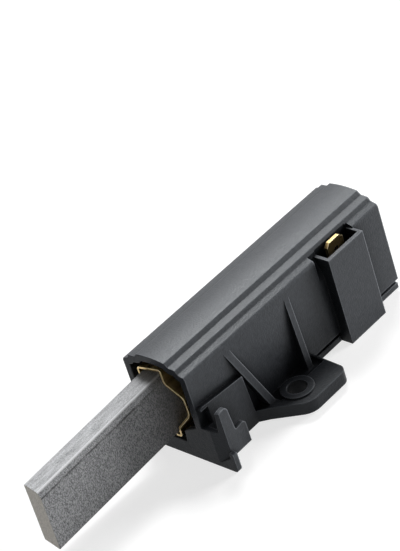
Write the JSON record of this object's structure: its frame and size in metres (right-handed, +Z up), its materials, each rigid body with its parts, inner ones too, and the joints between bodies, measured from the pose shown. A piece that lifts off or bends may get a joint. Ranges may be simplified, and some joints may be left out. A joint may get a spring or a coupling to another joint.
{
  "type": "carbon brush",
  "caption": "Carbon brush sliding in a brass guide inside a moulded holder, with mounting ear, side terminal blade and pressure spring.",
  "frame": {"origin": "On the flat base, in the holder's middle plane and level with the ear's screw hole", "axes": "+X towards the brush's contact face, +Y towards the mounting ear, +Z up from the base"},
  "size_m": [0.0928, 0.0264, 0.0234],
  "materials": {
    "holder_plastic": "matte",
    "cover_plastic": "matte",
    "sheet_brass": "satin",
    "terminal_brass": "satin",
    "graphite": "satin",
    "tamping_powder": "matte",
    "copper_braid": "satin",
    "spring_steel": "satin"
  },
  "bodies": {
    "holder": {"housing": "holder_plastic", "base_cover": "cover_plastic", "guide_sleeve": "sheet_brass", "terminal": "terminal_brass", "shunt_lead": "copper_braid", "pressure_spring": "spring_steel"},
    "brush": {"carbon_brush": "graphite", "shunt_tamping": "tamping_powder"}
  },
  "joints": [
    {"name": "brush_slide", "type": "slide", "parent": "holder", "child": "brush", "axis": [-0.9997, 0, 0.0262], "range_m": [0, 0.028], "stiffness_N_per_m": 100, "springref_m": -0.025, "deforming": ["pressure_spring", "shunt_lead"]}
  ]
}
